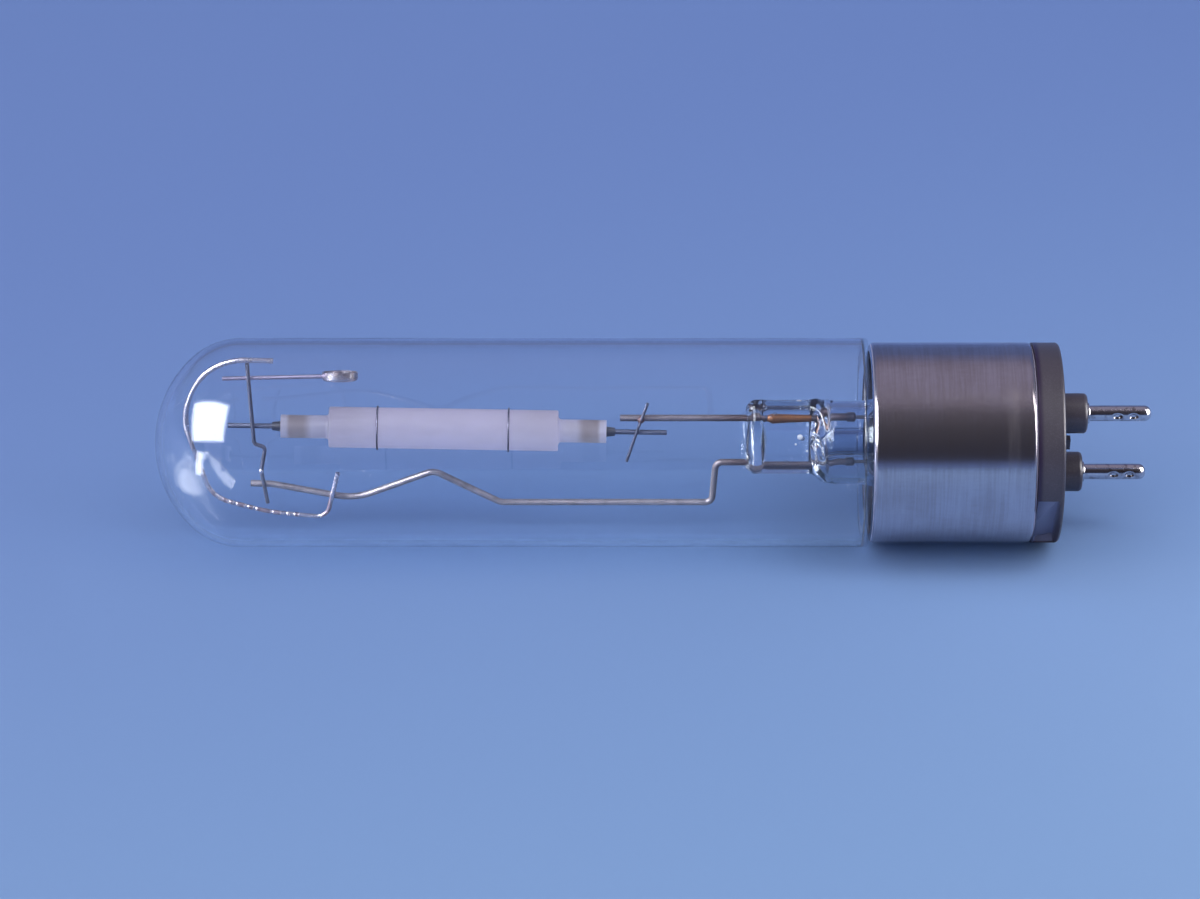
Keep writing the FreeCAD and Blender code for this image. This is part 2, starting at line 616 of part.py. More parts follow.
def make_arc_end(which, side, reach):
    """Make one end of the arc tube: plug with end tube, seal, feedthrough, electrode and coil.

    Distances are measured outwards from the arc tube's middle and multiplied by the side.
    """
    def outward(text):
        return f"{side} * ({text})"

    face, tube_end = "arc_length / 2", "arc_length / 2 + end_tube_length"
    shank_hole = "shank_diameter / 2 + fit_gap"
    plug_face = "arc_length / 2 - plug_depth"
    niobium_end = f"{tube_end} - niobium_depth"
    plug_radius = "arc_diameter / 2 - arc_wall - fit_gap"
    pieces = [turned(f"arc_end_{which}", (
        (outward(plug_face), shank_hole),
        (outward(plug_face), plug_radius),
        (outward(face), plug_radius),
        (outward(face), "end_tube_diameter / 2", "plug_fillet"),
        (outward(tube_end), "end_tube_diameter / 2"),
        (outward(tube_end), "end_tube_bore / 2"),
        (outward(niobium_end), "end_tube_bore / 2"),
        (outward(niobium_end), shank_hole),
    ))]
    pieces.append(turned(f"frit_seal_{which}", (
        (outward(tube_end), "feed_diameter / 2 + fit_gap"),
        (outward(tube_end), "end_tube_diameter / 2 - frit_step"),
        (outward(f"{tube_end} + frit_length"), "feed_diameter / 2 + frit_collar"),
        (outward(f"{tube_end} + frit_length"), "feed_diameter / 2 + fit_gap"),
    )))
    pieces.append(turned(f"feedthrough_{which}", (
        (outward(niobium_end), "0"),
        (outward(niobium_end), "end_tube_bore / 2 - fit_gap"),
        (outward(tube_end), "end_tube_bore / 2 - fit_gap"),
        (outward(tube_end), "feed_diameter / 2"),
        (outward(reach), "feed_diameter / 2"),
        (outward(reach), "0"),
    )))
    tip = f"{plug_face} - shank_reach"
    pieces.append(turned(f"electrode_shank_{which}", (
        (outward(tip), "0"),
        (outward(tip), "shank_diameter / 2"),
        (outward(niobium_end), "shank_diameter / 2"),
        (outward(niobium_end), "0"),
    )))
    coil_start = f"{tip} + coil_setback"
    crest = "shank_diameter / 2 + fit_gap + coil_wire"
    valley = "shank_diameter / 2 + fit_gap + coil_wire / 2"
    outline = [(outward(coil_start), "shank_diameter / 2 + fit_gap")]
    for turn in range(int(value("coil_turns"))):
        first, last = (f"{coil_start} + coil_pitch * {turn + part}" for part in (0, 1))
        outline.append((outward(first), valley))
        outline.append((outward(f"{first} + coil_pitch / 2"), crest, "coil_wire / 4"))
    outline.append((outward(last), valley))
    outline.append((outward(last), "shank_diameter / 2 + fit_gap"))
    pieces.append(turned(f"electrode_coil_{which}", outline))
    for piece in pieces:
        place_on_arc_tube(piece)


def make_links():
    """Make the two thin wires that join the arc tube's feedthroughs to the frame and the lead."""
    link = bent_wire("link_wire_dome", (
        ("-link_top", f"{SPRING_ARM} - spring_arm_sag - spring_diameter / 2 - link_top_gap"),
        ("-link_knee", "link_knee_height", "link_bend"),
        ("-link_elbow", "-link_elbow_drop", "link_bend"),
        ("-link_waist", "-link_waist_drop", "link_slow_bend"),
        ("-link_foot", f"link_foot_gap - {INNER_RADIUS}"),
    ), "link_diameter")
    place(link, across=LINK_SIDE)
    cross = bent_wire("link_wire_cap", (
        ("-cross_top", "cross_top_height"),
        ("-cross_mid", "cross_mid_height", "cross_bend"),
        ("-cross_foot", "-cross_foot_drop"),
    ), "cross_diameter")
    place(cross, across=CROSS_SIDE)


def make_spring():
    """Bend the spring that steadies the frame in the dome and ends in a hook at the frame rod."""
    spring = bent_wire("dome_spring", (
        ("-spring_arm_end", f"{SPRING_ARM} - spring_arm_sag"),
        ("-spring_corner", SPRING_ARM, "spring_wide_bend"),
        ("-spring_shoulder", f"{INNER_RADIUS} - spring_shoulder_gap", "spring_loop_bend"),
        ("-spring_back", "spring_back_height", "spring_back_bend"),
        ("-spring_heel", f"spring_heel_gap - {INNER_RADIUS}", "spring_heel_bend"),
        ("-spring_sole", f"spring_sole_gap - {INNER_RADIUS}", "spring_sole_bend"),
        ("-spring_toe", f"spring_toe_gap - {INNER_RADIUS}", "spring_toe_bend"),
        ("-spring_hook", f"spring_hook_gap - {INNER_RADIUS}", "spring_hook_bend"),
        ("-spring_end", f"spring_end_gap - {INNER_RADIUS}"),
    ), "spring_diameter")
    place(spring, across=SPRING_SIDE)


def make_getter():
    """Make the getter: a rod, a ring channel at its end, and the pressed powder in the channel."""
    rod = straight_wire("getter_rod", "getter_rod_diameter", "getter_rod_length")
    tilt = "90 - getter_rod_tilt"
    start = f"({INNER_RADIUS} - getter_rod_gap)"
    place(rod, "-getter_rod_start", GETTER_SIDE, start, (0, 1, 0), tilt)
    outer, inner = "(getter_diameter / 2)", "(getter_diameter / 2 - getter_width)"
    floor, top = "(-getter_height / 2)", "(getter_height / 2)"
    channel = turned("getter_channel", (
        (inner, floor, "getter_edge"),
        (outer, floor, "getter_edge"),
        (outer, top),
        (f"{outer} - getter_sheet", top),
        (f"{outer} - getter_sheet", f"{floor} + getter_sheet", "getter_edge - getter_sheet"),
        (f"{inner} + getter_sheet", f"{floor} + getter_sheet", "getter_edge - getter_sheet"),
        (f"{inner} + getter_sheet", top),
        (inner, top),
    ), axis="V_Axis")
    seat = f"({floor} + getter_sheet)"
    fill = turned("getter_fill", (
        (f"{inner} + getter_sheet + fit_gap", seat, "getter_edge - getter_sheet"),
        (f"{outer} - getter_sheet - fit_gap", seat, "getter_edge - getter_sheet"),
        (f"{outer} - getter_sheet - fit_gap", f"{seat} + getter_fill_height"),
        (f"{inner} + getter_sheet + fit_gap", f"{seat} + getter_fill_height"),
    ), axis="V_Axis")
    along = f"-getter_rod_start + getter_rod_length * cos(getter_rod_tilt) + weld_gap + {outer}"
    height = f"{start} + getter_rod_length * sin(getter_rod_tilt)"
    for piece in (channel, fill):
        place(piece, along, GETTER_SIDE, height, (1, 0, 0), "-getter_lean")


def make_shell():
    """Draw the metal shell: a sleeve with both ends turned in."""
    lip = f"{CAP_RADIUS} - shell_lip"
    turned("cap_shell", (
        ("-shell_length", lip),
        ("-shell_length", CAP_RADIUS, "shell_edge"),
        ("0", CAP_RADIUS, "shell_edge"),
        ("0", lip),
        ("-shell_wall", lip),
        ("-shell_wall", SHELL_BORE, "shell_edge - shell_wall"),
        ("-shell_length + shell_wall", SHELL_BORE, "shell_edge - shell_wall"),
        ("-shell_length + shell_wall", lip),
    ))


def make_cement():
    """Fill the cement ring between the neck and the shell."""
    near, far = "-shell_length + cement_inset", "-neck_end - cement_margin"
    turned("cap_cement", (
        (near, f"{NECK_RADIUS} + fit_gap"),
        (near, f"{SHELL_BORE} - fit_gap"),
        (far, f"{SHELL_BORE} - fit_gap"),
        (far, f"{NECK_RADIUS} + fit_gap"),
    ))


def sink_recess(body, name, lean):
    """Sink one side of the recess's ridged floor into the ring's edge.

    The sketch lies on the chord at the ridge's height, looking inwards, with its Y along the
    chord and pointing down. It leans about the ridge, and cuts outwards.
    """
    chord = "create(<<vector>>; 0; -notch_floor * cos(notch_turn); -notch_floor * sin(notch_turn))"
    facing = "create(<<rotation>>; create(<<vector>>; 1; 0; 0); notch_turn - 90)"
    ridge = "create(<<vector>>; cos(ridge_turn); -sin(ridge_turn); 0)"
    pivot = "create(<<vector>>; ridge_along; -ridge_above; 0)"
    still = "create(<<vector>>; 0; 0; 0)"
    sketch = new_sketch(body, "XY_Plane", name)
    sketch.setExpression("AttachmentOffset", bound(
        f"create(<<placement>>; {chord}; {facing})"
        f" * create(<<placement>>; {still}; create(<<rotation>>; {ridge}; {lean}); {pivot})"
    ))
    draw(sketch, (
        ("notch_start", "-notch_half"),
        ("notch_end", "-notch_half"),
        ("notch_end", "notch_half"),
        ("notch_start", "notch_half"),
    ))
    cut(body, sketch, f"{name}Cut")


def outermost_edges(shape, count):
    """Name the edges of a shape that lie furthest along X."""
    reach = {f"Edge{number}": edge.CenterOfMass.x for number, edge in enumerate(shape.Edges, 1)}
    return sorted(reach, key=reach.get)[-count:]


def make_insulator():
    """Mould the insulator: ring, skirt held by the shell, bosses for the pins, rib and recess."""
    skirt = f"({SHELL_BORE} - fit_gap)"
    groove = "(-shell_wall - fit_gap)"
    body = turned("cap_insulator", (
        ("ring_thickness", "0"),
        ("ring_thickness", CAP_RADIUS, "ring_edge"),
        ("0", CAP_RADIUS),
        ("0", f"{CAP_RADIUS} - shell_lip - fit_gap"),
        (groove, f"{CAP_RADIUS} - shell_lip - fit_gap"),
        (groove, skirt, "shell_edge - shell_wall"),
        ("-spigot_depth", skirt),
        ("-spigot_depth", f"{skirt} - spigot_wall"),
        ("-disc_depth", f"{skirt} - spigot_wall", "ring_edge"),
        ("-disc_depth", "0"),
    ))
    centres = (("0", "pin_spacing / 2"), ("0", "-pin_spacing / 2"))
    bosses = new_sketch(body, "YZ_Plane", "BossCircles")
    add_circles(bosses, centres, "boss_diameter")
    raised = raise_up(body, bosses, "Bosses", BOSS_FACE)
    rounded = body.newObject("PartDesign::Fillet", "cap_insulator_BossEdges")
    rounded.Base = (raised, outermost_edges(raised.Shape, len(centres)))
    rounded.setExpression("Radius", bound("boss_edge"))
    doc.recompute()
    rib = new_sketch(body, "YZ_Plane", "RibOutline")
    draw(rib, [(f"{across} * key_width / 2", f"{up} * key_length / 2")
               for across, up in ((-1, -1), (1, -1), (1, 1), (-1, 1))])
    raise_up(body, rib, "Rib", "ring_thickness + key_height")
    sink_recess(body, "UpperFlat", "ridge_lean")
    sink_recess(body, "LowerFlat", "-ridge_lean")
    holes = new_sketch(body, "YZ_Plane", "PinHoles")
    add_circles(holes, centres, "pin_shank_diameter + 2 * fit_gap")
    cut(body, holes, "PinHoles", both_ways=True)
    place(body, turn="pin_turn")


def make_pin(which, side):
    """Turn one contact pin, held by a flange inside the cap and a collar on its boss."""
    radius, bore = "pin_diameter / 2", "pin_bore / 2"
    inner_end = "(-disc_depth - pin_flange_height)"
    tip = f"{BOSS_FACE} + pin_length"
    pin = turned(f"contact_pin_{which}", (
        (inner_end, bore),
        (inner_end, "pin_flange_diameter / 2"),
        ("-disc_depth", "pin_flange_diameter / 2"),
        ("-disc_depth", "pin_shank_diameter / 2"),
        (BOSS_FACE, "pin_shank_diameter / 2"),
        (BOSS_FACE, "pin_collar_diameter / 2"),
        (f"{BOSS_FACE} + pin_collar_height", "pin_collar_diameter / 2"),
        (f"{BOSS_FACE} + pin_collar_height", radius),
        (tip, radius, "(pin_diameter - pin_nose_flat) / 2"),
        (tip, "0"),
        ("pin_bore_end", "0"),
        ("pin_bore_end", bore),
    ))
    across = f"{side} * -pin_spacing / 2 * sin(pin_turn)"
    place(pin, across=across, height=f"{side} * pin_spacing / 2 * cos(pin_turn)")


def write_parts():
    """See that every object came out sound, then write each sub-part to its own file."""
    doc.recompute()
    for item in doc.Objects:
        if "Invalid" in item.State or "Error" in item.State:
            raise RuntimeError(f"{item.Name} failed: {item.State}")
    os.makedirs("parts", exist_ok=True)
    for node in nodes:
        if node.Shape.isNull() or not node.Shape.isValid() or len(node.Shape.Solids) != 1:
            raise RuntimeError(f"{node.Label} is not one sound solid")
    for node in nodes:
        node.Shape.exportStep(f"parts/{node.Label}.step")
    print(f"{len(nodes)} sub-parts written")


fill_sheet()
make_bulb()
make_stem()
make_exhaust()
make_rods()
for which, side, height in (("upper", 1, UPPER_ROD), ("lower", -1, LOWER_ROD)):
    make_lead(which, side, height)
    make_pin(which, side)
make_arc_body()
for which, side, reach in (("dome", -1, "feed_reach_dome"), ("cap", 1, "feed_reach_cap")):
    make_arc_end(which, side, reach)
make_links()
make_spring()
make_getter()
make_shell()
make_cement()
make_insulator()
write_parts()
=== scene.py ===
import json
import math

import bpy
import numpy as np
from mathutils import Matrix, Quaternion, Vector


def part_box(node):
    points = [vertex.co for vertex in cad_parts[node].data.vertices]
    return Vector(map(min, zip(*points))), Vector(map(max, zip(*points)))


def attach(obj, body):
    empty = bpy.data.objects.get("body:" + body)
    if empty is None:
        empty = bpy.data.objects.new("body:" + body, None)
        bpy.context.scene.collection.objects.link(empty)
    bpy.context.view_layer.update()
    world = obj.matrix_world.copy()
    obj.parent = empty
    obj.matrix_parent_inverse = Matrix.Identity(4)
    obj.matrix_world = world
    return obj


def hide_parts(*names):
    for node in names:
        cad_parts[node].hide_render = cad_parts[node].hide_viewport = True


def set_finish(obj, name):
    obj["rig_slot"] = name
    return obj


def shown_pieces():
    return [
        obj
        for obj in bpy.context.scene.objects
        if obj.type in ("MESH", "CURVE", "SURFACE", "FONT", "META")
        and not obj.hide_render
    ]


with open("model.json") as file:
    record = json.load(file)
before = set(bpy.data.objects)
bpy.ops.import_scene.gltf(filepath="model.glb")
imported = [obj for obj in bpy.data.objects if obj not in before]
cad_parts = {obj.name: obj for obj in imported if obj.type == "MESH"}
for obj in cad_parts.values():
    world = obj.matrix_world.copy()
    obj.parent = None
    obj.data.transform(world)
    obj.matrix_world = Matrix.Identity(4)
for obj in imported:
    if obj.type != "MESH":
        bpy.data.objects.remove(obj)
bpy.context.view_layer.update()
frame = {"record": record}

# Looks of a tubular discharge lamp that lies on its side. X runs along the lamp towards the two
# pins, Z is up, and the origin is on the axis where the metal shell meets the insulator ring.
# Shapes are worked out in millimetres and stored in metres.

MM = 0.001

# The bulb: its outside radius, wall, tip, dome, shoulder and neck.
BULB_RADIUS = 15.7
BULB_WALL = 1.0
BULB_TIP = -131.3
DOME_DEPTH = 13.0
KNUCKLE = 11.0
SHELL_MOUTH = -24.35
SHOULDER = SHELL_MOUTH - 0.3
SHOULDER_RUN = 0.25
NECK_RADIUS = 13.5
NECK_END = -11.0
FLOOR = -BULB_RADIUS

# The stem: heights of its two rods, ends of the pressed pinch with its half sizes, the bead on it
# as (middle x, middle z, half length, half height, rise), and the round tube with its flare.
UPPER_ROD, LOWER_ROD = 4.225, -3.425
PINCH_TIP, TUBE_START = -42.9, -30.3
PINCH_HEIGHT, PINCH_THICKNESS, TIP_ROUND = 6.0, 1.9, 1.7
BEAD = (-41.35, 0.45, 1.45, 5.9, 1.6)
TUBE_RADIUS, STEM_WALL = 6.25, 1.0
FLARE_START, FLARE_BEND, FLARE_RADIUS = -24.5, 6.0, 12.4

# The face of the bosses that the pins stand on, and the middle of the arc tube.
BOSS_FACE = 8.0
ARC_MIDDLE = -88.0


def new_piece(name, points, faces, slot, replaces=()):
    """Make a smooth closed mesh piece from points in millimetres, riding on the lamp."""
    mesh = bpy.data.meshes.new(name)
    mesh.from_pydata((np.asarray(points) * MM).tolist(), [], faces)
    mesh.shade_smooth()
    piece = bpy.data.objects.new(name, mesh)
    bpy.context.scene.collection.objects.link(piece)
    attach(piece, "root")
    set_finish(piece, slot)
    if replaces:
        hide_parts(*replaces)
    return piece


def ring_faces(rows, columns):
    """Return the quads of a grid of rows of points, each row closed into a ring."""
    row, column = np.meshgrid(np.arange(rows - 1), np.arange(columns), indexing="ij")
    beside = (column + 1) % columns
    quads = np.stack([row * columns + column, (row + 1) * columns + column,
                      (row + 1) * columns + beside, row * columns + beside], axis=-1)
    return quads.reshape(-1, 4).tolist()


def capped_rings(rings, first_pole=None, last_pole=None):
    """Return points and faces of a skin of rings whose two ends are closed by a pole each.

    A pole that isn't given is the middle of its end ring. A fan joins the pole to the ring.
    """
    rows, columns, _ = rings.shape
    poles = [ring.mean(axis=0) if pole is None else np.array(pole, float)
             for pole, ring in ((first_pole, rings[0]), (last_pole, rings[-1]))]
    points = np.concatenate([rings.reshape(-1, 3), poles])
    column = np.arange(columns)
    beside = (column + 1) % columns
    end = (rows - 1) * columns
    faces = ring_faces(rows, columns)
    for pole, near, far in ((0, column, beside), (1, end + beside, end + column)):
        tip = np.full(columns, rows * columns + pole)
        faces += np.stack([tip, near, far], axis=-1).tolist()
    return points, faces


def joined(shapes):
    """Put several closed skins, each given as points and faces, into one."""
    points, faces, count = [], [], 0
    for some_points, some_faces in shapes:
        faces += [[index + count for index in face] for face in some_faces]
        points.append(some_points)
        count += len(some_points)
    return np.concatenate(points), faces


def ball(centre, radii, columns=20, rows=11, hollow=False):
    """Return an ellipsoid: centre + (a cos t, b sin t sin u, c sin t cos u), t from pole to pole.

    A hollow one is a bubble in glass, so its faces point into it.
    """
    turn = np.linspace(0, 2 * math.pi, columns, endpoint=False)
    polar = np.linspace(math.pi, 0, rows + 2)[1:-1, None]
    rings = np.stack([np.cos(polar) + 0 * turn, np.sin(polar) * np.sin(turn),
                      np.sin(polar) * np.cos(turn)], axis=-1)
    rings, tip = rings * radii + centre, np.array([radii[0], 0, 0])
    if hollow:
        return capped_rings(rings[::-1], centre + tip, centre - tip)
    return capped_rings(rings, centre - tip, centre + tip)


def smooth(value, low, high):
    """0 below low, 1 above high, and a smooth cubic between."""
    part = np.clip((value - low) / (high - low), 0, 1)
    return part * part * (3 - 2 * part)


def rounded_line(corners, step=0.4, arc_steps=10):
    """Return points along straight runs with a tangent arc at each corner that has a radius.

    A corner is (x, y) or (x, y, radius). The arc's centre lies on the bisector at
    radius / sin(half angle) from the corner, and it touches the runs at radius / tan(half angle).
    """
    spots = [np.array(corner[:2], float) for corner in corners]
    pieces = [spots[0][None]]
    for index in range(1, len(corners)):
        spot = spots[index]
        radius = corners[index][2] if len(corners[index]) > 2 and index < len(corners) - 1 else 0
        if radius:
            back, ahead = (other - spot for other in (spots[index - 1], spots[index + 1]))
            back, ahead = back / np.linalg.norm(back), ahead / np.linalg.norm(ahead)
            half = math.acos(np.clip(back @ ahead, -1, 1)) / 2
            bisector = (back + ahead) / np.linalg.norm(back + ahead)
            middle = spot + bisector * radius / math.sin(half)
            enter = spot + back * radius / math.tan(half)
            leave = spot + ahead * radius / math.tan(half)
            first, last = (math.atan2(*(end - middle)[::-1]) for end in (enter, leave))
            sweep = (last - first + math.pi) % (2 * math.pi) - math.pi
            angle = first + sweep * np.linspace(0, 1, arc_steps + 1)
            arc = middle + radius * np.stack([np.cos(angle), np.sin(angle)], axis=-1)
        else:
            enter, arc = spot, spot[None]
        start = pieces[-1][-1]
        count = max(1, round(float(np.linalg.norm(enter - start)) / step))
        part = np.linspace(0, 1, count + 1)[1:-1, None]
        pieces.append(start + (enter - start) * part)
        pieces.append(arc)
    return np.concatenate([piece for piece in pieces if len(piece)])


def turned_rings(line, segments):
    """Turn a line of (x, radius) round the X axis: (x, r sin a, r cos a) for angles a."""
    angle = np.linspace(0, 2 * math.pi, segments, endpoint=False)
    along, radius = line[:, :1], line[:, 1:2]
    return np.stack([along + 0 * angle, radius * np.sin(angle), radius * np.cos(angle)], axis=-1)


def bulb_line(inset, crown_steps=60, knuckle_steps=36):
    """Return the bulb's half outline, inset from the outside, from the dome's tip to the neck.

    A crown arc centred on the axis meets a knuckle arc whose centre is above the end of the dome;
    the crown's radius c for a depth d, bulb radius b and knuckle k is where the two are tangent:
    (d - c)^2 + (b - k)^2 = (c - k)^2. The cylinder, shoulder and neck follow.
    """
    depth, knuckle = DOME_DEPTH - inset, KNUCKLE - inset
    rise = BULB_RADIUS - KNUCKLE
    crown = (depth ** 2 + rise ** 2 - knuckle ** 2) / (2 * (depth - knuckle))
    dome_end = BULB_TIP + DOME_DEPTH
    lean = math.atan2(rise, depth - crown)
    angle = np.linspace(math.pi, lean, crown_steps)[1:]
    crown_arc = np.stack([dome_end - depth + crown + crown * np.cos(angle),
                          crown * np.sin(angle)], axis=-1)
    angle = np.linspace(lean, math.pi / 2, knuckle_steps)[1:-1]
    knuckle_arc = np.stack([dome_end + knuckle * np.cos(angle),
                            rise + knuckle * np.sin(angle)], axis=-1)
    neck = NECK_RADIUS - inset
    shift = inset * math.tan(math.atan2(BULB_RADIUS - NECK_RADIUS, SHOULDER_RUN) / 2)
    rest = rounded_line([
        (dome_end, BULB_RADIUS - inset),
        (SHOULDER - shift, BULB_RADIUS - inset, 0.3 - 0.2 * inset),
        (SHOULDER - shift + SHOULDER_RUN, neck, 0.4 - 0.25 * inset),
        (NECK_END, neck),
    ], step=1.2)
    return np.concatenate([crown_arc, knuckle_arc, rest])


def make_bulb(segments=224):
    """Blow the bulb: an outer and an inner turned skin, joined by a flat rim at the neck.

    A pole closes each skin at the dome's tip.
    """
    outer, inner = (turned_rings(bulb_line(inset), segments) for inset in (0.0, BULB_WALL))
    points, faces = capped_rings(np.concatenate([outer, inner[::-1]]),
                                 (BULB_TIP, 0, 0), (BULB_TIP + BULB_WALL, 0, 0))
    return new_piece("bulb", points, faces, "bulb_glass", ["outer_bulb"])


def stem_skin(x, angle, tube_radius):
    """Return the outside of the stem, from the pinch pressed flat to the round tube.

    Each section is a superellipse: y = d |sin a|^(2/p) and z = z0 + h |cos a|^(2/p), with the
    signs of sin and cos. Along the stem p falls from 3.4 to 2 and d and h grow to the tube's
    radius. The tip is rounded by an ellipse. The flats carry a ridge along each rod, a bell curve
    across, and the bead near the tip, which is the cap of an ellipsoid. Where the press let go,
    the skin is drawn into a few lumps.
    """
    round_off = smooth(x, -33.4, TUBE_START)
    tip = np.sqrt(1 - np.clip((PINCH_TIP + TIP_ROUND - x) / TIP_ROUND, 0, 0.998) ** 2)
    lumps = 1 + 0.05 * np.sin(3 * angle + 0.9 * x) * np.exp(-((x + 31.6) / 1.0) ** 2)
    tall = (PINCH_HEIGHT - TIP_ROUND * (1 - tip)) * (1 - round_off) + tube_radius * round_off
    thick = PINCH_THICKNESS * tip * (1 - round_off) + tube_radius * round_off
    power = 2 / (3.4 - 1.4 * round_off)
    sine, cosine = np.sin(angle), np.cos(angle)
    across = np.sign(sine) * np.abs(sine) ** power
    up = np.sign(cosine) * np.abs(cosine) ** power
    z = 1.0 * (1 - smooth(x, -33.0, -29.0)) + tall * lumps * up
    flats = smooth(x, -41.0, -39.5) * (1 - round_off)
    ridges = sum(height * np.exp(-((z - rod) / width) ** 2)
                 for rod, height, width in ((UPPER_ROD, 0.5, 0.95), (LOWER_ROD, 0.3, 0.8)))
    bead_x, bead_z, half_length, half_height, rise = BEAD
    inside = 1 - ((x - bead_x) / half_length) ** 2 - ((z - bead_z) / half_height) ** 2
    bead = rise * np.sqrt(np.clip(inside, 0, 1))
    y = (thick * lumps + ridges * flats + bead * np.abs(sine) ** 0.5) * across
    return np.stack([x + 0 * angle, y, z], axis=-1)


def make_stem(segments=160):
    """Press the stem: pinch, tube and flare, with the tube's bore and the bubbles left inside.

    The bore's bottom is a torn hollow: x falls with sqrt(1 - f^2) from the tube's wall, f = 1, to
    the middle, f = 0, and waves run round it. The rods stand in the glass.
    """
    angle = np.linspace(0, 2 * math.pi, segments, endpoint=False)
    tube = rounded_line([(TUBE_START, TUBE_RADIUS), (FLARE_START, TUBE_RADIUS, FLARE_BEND),
                         (NECK_END, FLARE_RADIUS)], step=0.5)
    pinch = np.arange(PINCH_TIP, TUBE_START - 0.05, 0.09)
    x = np.concatenate([pinch, tube[:, 0]])[:, None]
    radius = np.concatenate([np.full(len(pinch), TUBE_RADIUS), tube[:, 1]])[:, None]
    outer = stem_skin(x, angle, radius)
    line = tube[::-1] - [0, STEM_WALL]
    bore = turned_rings(line, segments)
    share = np.linspace(1, 0.03, 26)[1:, None]
    depth = 1.9 * np.sqrt(1 - share ** 2) * (1 + 0.22 * np.sin(2 * angle + 0.7))
    depth = depth + 0.28 * np.sin(5 * angle + 7 * share) * np.sin(math.pi * share)
    reach = line[-1, 1] * share
    end = np.stack([line[-1, 0] - depth, reach * np.sin(angle), reach * np.cos(angle)], axis=-1)
    shapes = [capped_rings(np.concatenate([outer, bore, end]))]
    bubbles = (
        (-34.3, 0.3, 1.0, 0.36), (-39.7, -1.0, 4.9, 0.22), (-39.1, -1.1, 5.1, 0.16),
        (-38.5, -1.0, 5.5, 0.26), (-36.7, -0.9, -2.55, 0.22),
    )
    for *centre, size in bubbles:
        shapes.append(ball(np.array(centre), np.array([1.1, 0.8, 1.0]) * size, 14, 7, hollow=True))
    points, faces = joined(shapes)
    return new_piece("stem", points, faces, "stem_glass", ["stem_glass"])


def make_bubbles():
    """Set the three bright bubbles in the pinch, each a ball painted white that glows a little: a
    painted reflection of the light that the bubble's skin throws back.
    """
    spots = ((-34.7, -0.9, 1.7, 0.42), (-35.3, -0.7, 0.35, 0.16), (-33.6, -0.9, -0.75, 0.17))
    points, faces = joined([ball(np.array(spot[:3]), np.array([1.0, 0.8, 1.1]) * spot[3], 24, 13)
                            for spot in spots])
    return new_piece("stem_bubbles", points, faces, "stem_glass")


def make_seal():
    """Draw the copper-skinned part of the upper rod in the pinch, thicker towards the bead.

    Its radius runs evenly from 0.74 to 0.54 mm, with both ends drawn in.
    """
    corners = [(-39.6, 0.5), (-38.9, 0.74, 0.6), (-33.0, 0.54, 0.1), (-32.7, 0.5)]
    line = rounded_line(corners, step=0.3)
    points, faces = capped_rings(turned_rings(line, 32) + [0, 0, UPPER_ROD])
    return new_piece("copper_seal", points, faces, "lead_rod")


def make_pin(which, crimps, segments=72):
    """Turn one contact pin and press its two crimps.

    The crimps are dents on the front: the radius r(x) drops by d exp(-q^2), where q is
    ((x - x0) / l)^2 + ((a - a0) / w)^2 round a crimp at x0 and the angle a0.
    """
    head, shank, collar, pin = 2.1, 1.4, 1.55, 1.175
    head_run, collar_run, collar_round = 0.6, 0.35, 0.12
    depth, length, width, front = 0.42, 0.62, 0.42, math.radians(-92)
    low, high = (np.array(corner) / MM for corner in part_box(f"contact_pin_{which}"))
    start, tip = low[0], high[0]
    line = rounded_line([
        (start, head), (start + head_run, head), (start + head_run, shank), (BOSS_FACE, shank),
        (BOSS_FACE, collar, collar_round), (BOSS_FACE + collar_run, collar, collar_round),
        (BOSS_FACE + collar_run, pin), (tip, pin, 1.0), (tip, 0.1),
    ], step=0.12)
    rings = turned_rings(line, segments)
    angle = np.linspace(0, 2 * math.pi, segments, endpoint=False)
    turn = (angle - front + math.pi) % (2 * math.pi) - math.pi
    for crimp in crimps:
        spread = ((line[:, :1] - crimp) / length) ** 2 + (turn / width) ** 2
        dent = depth * np.exp(-spread ** 2) / line[:, 1:2]
        rings[..., 1:] *= (1 - dent)[..., None]
    points, faces = capped_rings(rings, (start, 0, 0), (tip, 0, 0))
    points = points + [0, *(low + high)[1:] / 2]
    return new_piece(f"pin_{which}", points, faces, "pin_nickel", [f"contact_pin_{which}"])


def make_welds():
    """Add the small spots where the fine wires are welded to the rods."""
    link_side, cross_side = (sum(corner[1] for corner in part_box(wire)) / 2 / MM
                             for wire in ("link_wire_dome", "link_wire_cap"))
    link_spot = (-115.5, link_side - 0.15, -4.5)
    cross_spot = (-58.5, cross_side * 0.5, UPPER_ROD - 0.1)
    for name, centre, radii, slot in (
            ("weld_link", link_spot, (0.32, 0.3, 0.5), "spring_steel"),
            ("weld_cross", cross_spot, (0.55, 0.62, 0.58), "sleeve_metal")):
        points, faces = ball(np.array(centre), np.array(radii), 24, 13)
        new_piece(name, points, faces, slot)


